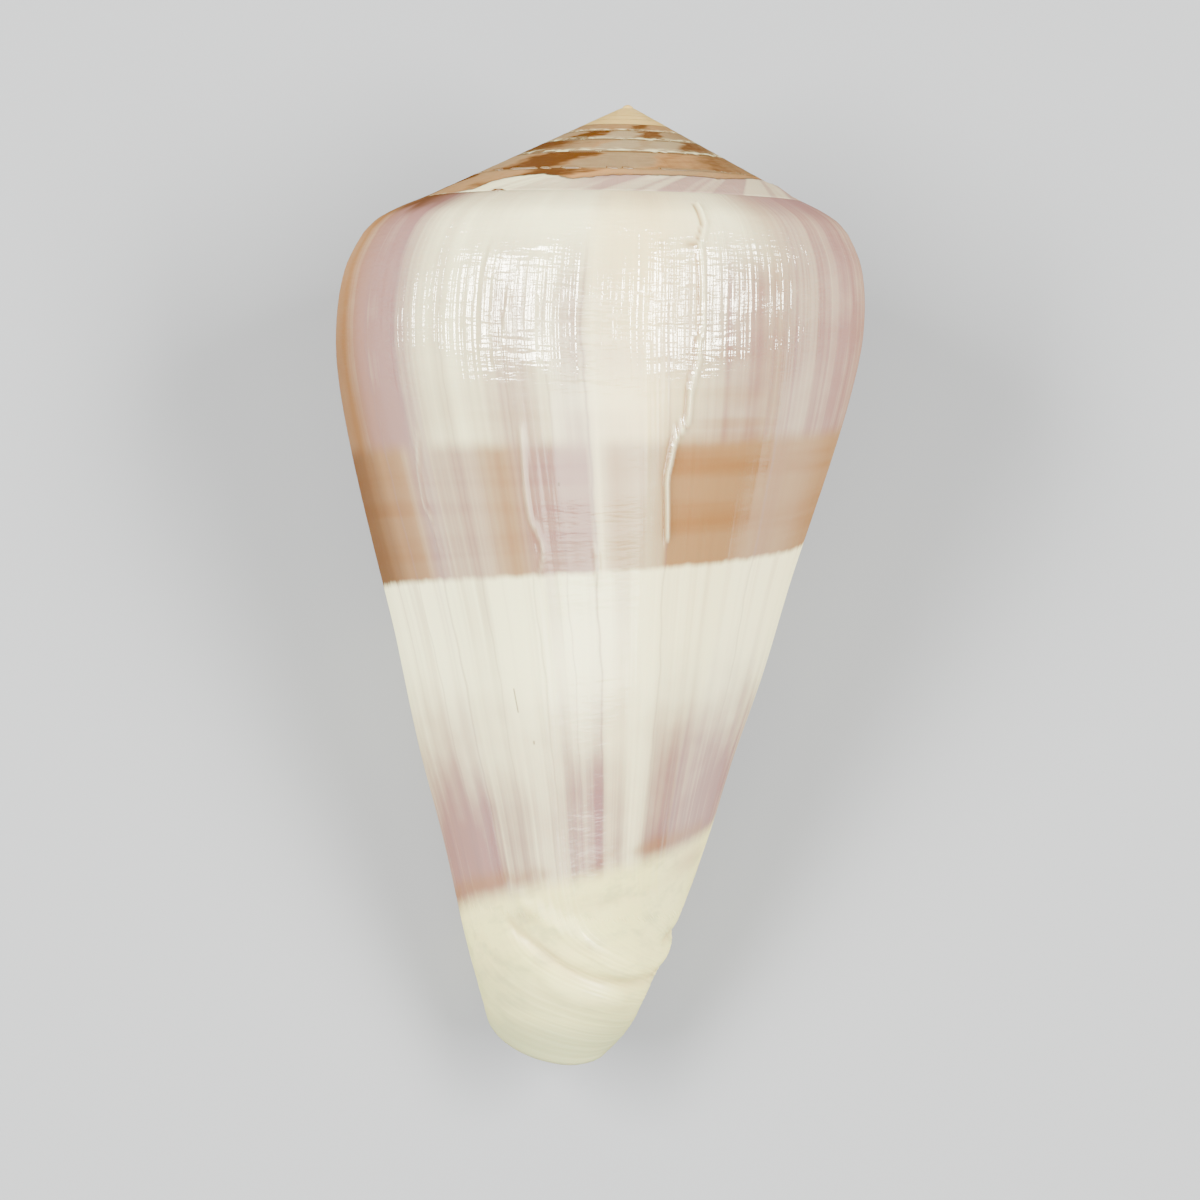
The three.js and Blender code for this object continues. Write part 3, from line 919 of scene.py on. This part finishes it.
def specks(skin):
    """Small dark specks and a hair of dirt, as short strokes across the growth."""
    return strongest([speck(skin, *stroke) for stroke in SPECKS]) * (1 - skin.inside)


def speck(skin, girth, depth, far_girth, far_depth, width):
    long = far_depth - depth
    share = ((skin.depth - depth) / long).held()
    across = (skin.girth - girth - share * (far_girth - girth)) * GIRTH_ON_PLANE
    along = skin.depth - depth - share * long
    return (across * across + along * along).math("SQRT").near(0, width)


def spire_colour(skin, colours):
    """The spire: tan and pale grey ground with brown blotches, and cream first whorls."""
    nodes = skin.nodes
    wander = nodes.noise(nodes.combine(skin.age * 0.05, skin.row * 0.16, 7), 1, 2, 0.6) - 0.5
    age = skin.age + wander * 34 + (skin.row - 7) * 0.9
    late, early = (record_ramp(nodes, age, record) for record in (LATE_SPIRE, EARLY_SPIRE))
    old = age.math("GREATER_THAN", EARLY_SPIRE[0][0])
    brown, tan, pale = (b * old + a * (1 - old) for a, b in zip(late, early))
    patchy = nodes.noise(nodes.combine(skin.age * 0.11, skin.row * 0.5, 13), 1, 2, 0.6) - 0.5
    beads = skin.row.near(13.2, 1.8) * patchy.smooth(-0.1, 0.15)
    return nodes.layered(
        colours.spire,
        ((tan + patchy * 0.5).held(), colours.ochre),
        ((pale + patchy * 0.6).held() * 0.8, colours.pale),
        ((brown + patchy * 0.7).smooth(0.12, 0.9), colours.brown),
        (beads * skin.age.smooth(1040, 1120) * 0.6, colours.white),
        # Painted shade: a dark line along each suture of the spire.
        (skin.row.near(0, 0.9) * 0.55, colours.shade),
        (skin.age.smooth(1960, 2200), colours.straw),
    )


def glaze_mask(skin):
    """Where the last whorl's pale glaze covers the ramp of the whorl before it."""
    nodes = skin.nodes
    reach = [(age, row / RAMP_ROWS * 100, 0, 0) for age, row in GLAZE_EDGE]
    edge = record_ramp(nodes, skin.age, reach)[0] * RAMP_ROWS
    jag = nodes.noise(nodes.combine(skin.age * 0.25, 1, 3), 1, 3, 0.7) - 0.5
    covered = (skin.row - edge - jag * 2.2).smooth(-0.5, 0.6)
    return covered * (1 - skin.age.smooth(700, 719))


def close_record(record):
    """The record with its first entry repeated at the end of the turn."""
    return [*record, (FULL_TURN, *record[0][1:])]


def fine_relief(skin):
    """Growth lines crossed by spiral ones, too fine for the mesh, in millimetres."""
    nodes = skin.nodes
    lines = nodes.noise(nodes.combine(skin.age, skin.band * 0.06, 5), 1, 2, 0.6)
    spirals = nodes.noise(nodes.combine(skin.band, skin.age * 0.05, 9), 2.6, 2, 0.6)
    waves = nodes.noise(nodes.combine(skin.age * 0.16, skin.band * 1.4, 4), 0.6, 1, 0.5)
    patches = skin.patches(0.05, 0.3, 6, 1).smooth(-0.15, 0.15)
    fine = (lines * 0.13 + spirals * 0.19) * (patches * 0.6 + 0.4)
    fine = fine * (1 - skin.band.smooth(14.5, 18.5) * 0.9)
    waves = waves * (1 - skin.band.smooth(16, 20) * 0.75)
    return (fine + waves * 0.06) * (1 - skin.inside * 0.85)


def shell_colour(skin, colours, last, glaze):
    """The last whorl, the spire with its glaze, the marks and the lining."""
    nodes = skin.nodes
    folds = nodes.noise(nodes.combine(skin.age + skin.row * 1.6, 3, 8), 0.13, 1, 0.5)
    wash = skin.age.smooth(474, 498) * 0.4 + folds.smooth(0.38, 0.64) * 0.35 + 0.25
    return nodes.layered(
        spire_colour(skin, colours),
        (glaze, nodes.mix(wash.least(0.9), colours.white, colours.lilac)),
        (last, body_colour(skin, colours)),
        (skin.scar * 0.5, colours.white),
        # Painted shadow: tan beside each healed break.
        (skin.seam * 0.75, colours.tan),
        (specks(skin) * last * 0.75, colours.brown),
        (skin.inside, colours.lining),
    )


def shine_of(skin, last):
    """How much the polished layer reflects: most on the back, little on the ramp, the ends and the spire."""
    shine = (0.165 - skin.depth.smooth(42, 47) * 0.14) * skin.row.smooth(9, 18)
    margins = (skin.age - MIDDLE_AGE).math("ABSOLUTE").smooth(42, 70)
    return 0.03 + last * shine * (1 - margins * 0.65)


def paint_shell(colours):
    """The shell's skin: a soft, slightly translucent body under a thin polished layer."""
    material, nodes = new_material("Glossy Skin")
    skin = Skin(nodes)
    last = 1 - skin.age.smooth(*WHORL_END)
    glaze = glaze_mask(skin) * (1 - last)
    relief, ledge = fine_relief(skin), glaze * 0.12
    flesh = {
        "Base Color": shell_colour(skin, colours, last, glaze),
        "Roughness": 0.5,
        "Specular IOR Level": 0,
        "Normal": bump(nodes, relief * 0.25 + ledge),
        "Subsurface Weight": 0.1,
        "Subsurface Scale": 0.0012,
    }
    gloss = {
        "Base Color": (1, 0.96, 0.8, 1),
        "Metallic": 1,
        "Roughness": 0.15 + skin.fine * 0.1 + skin.depth.smooth(41, 46) * 0.22,
        "Normal": bump(nodes, relief + ledge),
    }
    layers = [nodes.add("BsdfPrincipled", layer) for layer in (flesh, gloss)]
    shader = nodes.add("MixShader", {0: shine_of(skin, last), 1: layers[0], 2: layers[1]})
    nodes.add("OutputMaterial", {"Surface": shader})
    return material


def bump(nodes, height):
    """Turns a height in millimetres into a bumped normal."""
    return nodes.add("Bump", {"Strength": 1, "Distance": MM, "Height": height})


def aim(made, target):
    """Turns a light or camera to look at a point."""
    made.rotation_euler = (Vector(target) - made.location).to_track_quat("-Z", "Y").to_euler()


def soft_light(name, place, target, size, power):
    data = bpy.data.lights.new(name, "AREA")
    data.shape = "RECTANGLE"
    data.size, data.size_y = size
    data.energy = power
    made = placed(name, data)
    made.location = place
    aim(made, target)


# The shell's middle and its shoulder in the frame, and the shift that centres the view, in metres.
MIDDLE, SHOULDER = (0, 0, 0.013), (0, 0.011, 0.025)
VIEW_ACROSS, VIEW_DOWN = 0.000592, 0.00163
# Each soft lamp's place, target, size and share of the lamp power.
LAMPS = [
    ("left_window", (-0.215, 0.005, 0.275), SHOULDER, (0.27, 0.1), 1),
    ("right_window", (0.22, 0.005, 0.275), SHOULDER, (0.27, 0.1), 1),
    ("top_fill", (0, -0.25, 0.42), MIDDLE, (0.4, 0.3), 0.3),
]


def floor_material(colour):
    material, nodes = new_material("Pale Floor")
    grain = nodes.noise(nodes.add("TexCoord", output="Object"), 9, 2)
    shade = nodes.mix(grain * 0.08, colour, tuple(c * 0.8 for c in colour))
    shader = nodes.add("BsdfPrincipled", {"Base Color": shade, "Roughness": 0.7})
    nodes.add("OutputMaterial", {"Surface": shader})
    return material


def lay_floor(colour):
    half = 1.2
    corners = [(-half, -half, 0), (half, -half, 0), (half, half, 0), (-half, half, 0)]
    mesh = bpy.data.meshes.new("floor")
    mesh.from_pydata(corners, [], [(0, 1, 2, 3)])
    mesh.materials.append(floor_material(colour))
    made = placed("floor", mesh)


def set_camera(stage):
    """A camera above the shell, a little off square, as the photograph was taken."""
    rise, roll = stage.camera_elevation, stage.camera_roll
    forward = Vector((0, math.cos(rise), -math.sin(rise)))
    right = Vector((1, 0, 0))
    up = right.cross(forward)
    across = right * math.cos(roll) + up * math.sin(roll)
    upward = up * math.cos(roll) - right * math.sin(roll)
    target = Vector(MIDDLE) + across * VIEW_ACROSS - upward * VIEW_DOWN
    data = bpy.data.cameras.new("camera")
    data.sensor_width = 36
    data.lens = data.sensor_width / 2 / math.tan(stage.camera_angle / 2)
    data.clip_start, data.clip_end = 0.01, 10
    made = placed("camera", data)
    made.matrix_world = Matrix.Translation(target - forward * stage.camera_distance) @ (
        Matrix((across, upward, -forward)).transposed().to_4x4()
    )
    bpy.context.scene.camera = made


def set_stage(stage):
    lay_floor(stage.floor)
    set_camera(stage)
    world = bpy.data.worlds.new("studio")
    world.use_nodes = True
    background = world.node_tree.nodes["Background"]
    background.inputs["Color"].default_value = (*stage.room, 1)
    background.inputs["Strength"].default_value = stage.room_strength
    bpy.context.scene.world = world
    for name, place, target, size, share in LAMPS:
        soft_light(name, place, target, size, stage.lamp_power * share)


def number(name, description, default, **more):
    return FloatProperty(name=name, description=description, default=default, **more)


def length(name, description, default):
    return number(name, description, default, unit="LENGTH", precision=6)


class ConeShellForm(bpy.types.PropertyGroup):
    """Sizes of the grown shell"""

    growth_per_whorl: number("Growth per Whorl", "How much one turn adds", GROWTH_PER_WHORL, min=1.05)
    wall: length("Wall", "Thickness of the wall at the mouth", 0.001)
    shoulder_swell: length("Shoulder Swell", "How far older whorls stand out", 0.00088)
    growth_relief: length("Growth Relief", "Height of the coarse growth folds", 0.00005)
    break_height: length("Break Height", "Height of the healed breaks", 0.0002)
    fold_height: length("Fold Height", "Height of the front end's folds", 0.001)
    seed: IntProperty(name="Seed", description="Picks the arrangement of the growth folds", default=4)


def colour(name, description, default):
    return FloatVectorProperty(
        name=name, description=description, default=default, subtype="COLOR", size=3, min=0, max=1
    )


class ConeShellColours(bpy.types.PropertyGroup):
    """Colours of the shell"""

    white: colour("White", "Ground of the last whorl", (0.92, 0.88, 0.48))
    cream: colour("Cream", "Older growth", (0.84, 0.69, 0.32))
    ivory: colour("Ivory", "Ground of the front end", (0.78, 0.73, 0.27))
    lilac: colour("Lilac", "Wash over the ground", (0.245, 0.125, 0.112))
    tan: colour("Tan", "Upper band", (0.225, 0.098, 0.026))
    dusk: colour("Dusk", "Darkest streaks of the lower band", (0.20, 0.108, 0.10))
    stain: colour("Stain", "Faint stain on the front end", (0.42, 0.27, 0.12))
    # Tip also serves as painted shade on the front end's sides.
    tip: colour("Tip", "Thin shell at the front end", (0.33, 0.34, 0.17))
    spire: colour("Spire", "Ground of the spire", (0.17, 0.10, 0.04))
    ochre: colour("Ochre", "Warm tan of the spire", (0.36, 0.18, 0.06))
    pale: colour("Pale", "Pale grey of the spire", (0.28, 0.215, 0.115))
    straw: colour("Straw", "First whorls", (0.50, 0.33, 0.10))
    brown: colour("Brown", "Blotches on the spire", (0.08, 0.025, 0.0005))
    # Painted shade in the sutures' creases, on the spire and on the last whorl.
    shade: colour("Shade", "Painted shade along the sutures", (0.07, 0.04, 0.012))
    lining: colour("Lining", "Inside of the mouth", (0.74, 0.70, 0.50))


def angle(name, description, degrees):
    return number(name, description, radians_of(degrees), subtype="ANGLE")


class ConeShellStage(bpy.types.PropertyGroup):
    """Floor, light and camera"""

    floor: colour("Floor", "Colour of the floor", (0.25, 0.255, 0.255))
    room: colour("Room", "Colour of the light from all round", (1, 1, 1))
    room_strength: number("Room Strength", "Light from all round", 0.2)
    lamp_power: number("Lamp Power", "Power of each soft light", 4.25, unit="POWER")
    camera_elevation: angle("Camera Elevation", "Height of the camera above the horizon", 79.76)
    camera_roll: angle("Camera Roll", "Turn of the camera about its view", 2.413)
    camera_angle: angle("Field of View", "The camera's field of view", 18.271)
    camera_distance: number("Camera Distance", "From the camera to the shell", 0.2, unit="LENGTH")


class CONESHELL_OT_grow(bpy.types.Operator):
    """Grows the shell from its lip and paints it"""

    bl_idname = "cone_shell.grow"
    bl_label = "Grow Shell"

    def execute(self, context):
        scene = context.scene
        shell = grow_shell(scene.cone_shell_form, paint_shell(scene.cone_shell_colours))
        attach(shell, "root")
        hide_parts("shell")
        return {"FINISHED"}


class CONESHELL_OT_stage(bpy.types.Operator):
    """Lays the floor and sets the lights and the camera"""

    bl_idname = "cone_shell.stage"
    bl_label = "Set Stage"

    def execute(self, context):
        set_stage(context.scene.cone_shell_stage)
        return {"FINISHED"}


class CONESHELL_PT_panel(bpy.types.Panel):
    """Lists the shell's steps and settings"""

    bl_idname = "CONESHELL_PT_panel"
    bl_label = "Cone Shell"
    bl_space_type = "VIEW_3D"
    bl_region_type = "UI"
    bl_category = "Cone Shell"

    def draw(self, context):
        scene = context.scene
        sections = (
            (scene.cone_shell_form, None),
            (scene.cone_shell_colours, CONESHELL_OT_grow),
            (scene.cone_shell_stage, CONESHELL_OT_stage),
        )
        for settings, operator in sections:
            for name in settings.__annotations__:
                self.layout.prop(settings, name)
            if operator:
                self.layout.operator(operator.bl_idname)


CLASSES = (
    ConeShellForm,
    ConeShellColours,
    ConeShellStage,
    CONESHELL_OT_grow,
    CONESHELL_OT_stage,
    CONESHELL_PT_panel,
)


SETTINGS = {
    "cone_shell_form": ConeShellForm,
    "cone_shell_colours": ConeShellColours,
    "cone_shell_stage": ConeShellStage,
}


def register():
    for made in CLASSES:
        bpy.utils.register_class(made)
    for name, kind in SETTINGS.items():
        setattr(bpy.types.Scene, name, PointerProperty(type=kind))


def unregister():
    for name in SETTINGS:
        delattr(bpy.types.Scene, name)
    for made in reversed(CLASSES):
        bpy.utils.unregister_class(made)


def main():
    register()
    bpy.ops.cone_shell.grow()
    bpy.ops.cone_shell.stage()


if __name__ == "__main__":
    main()
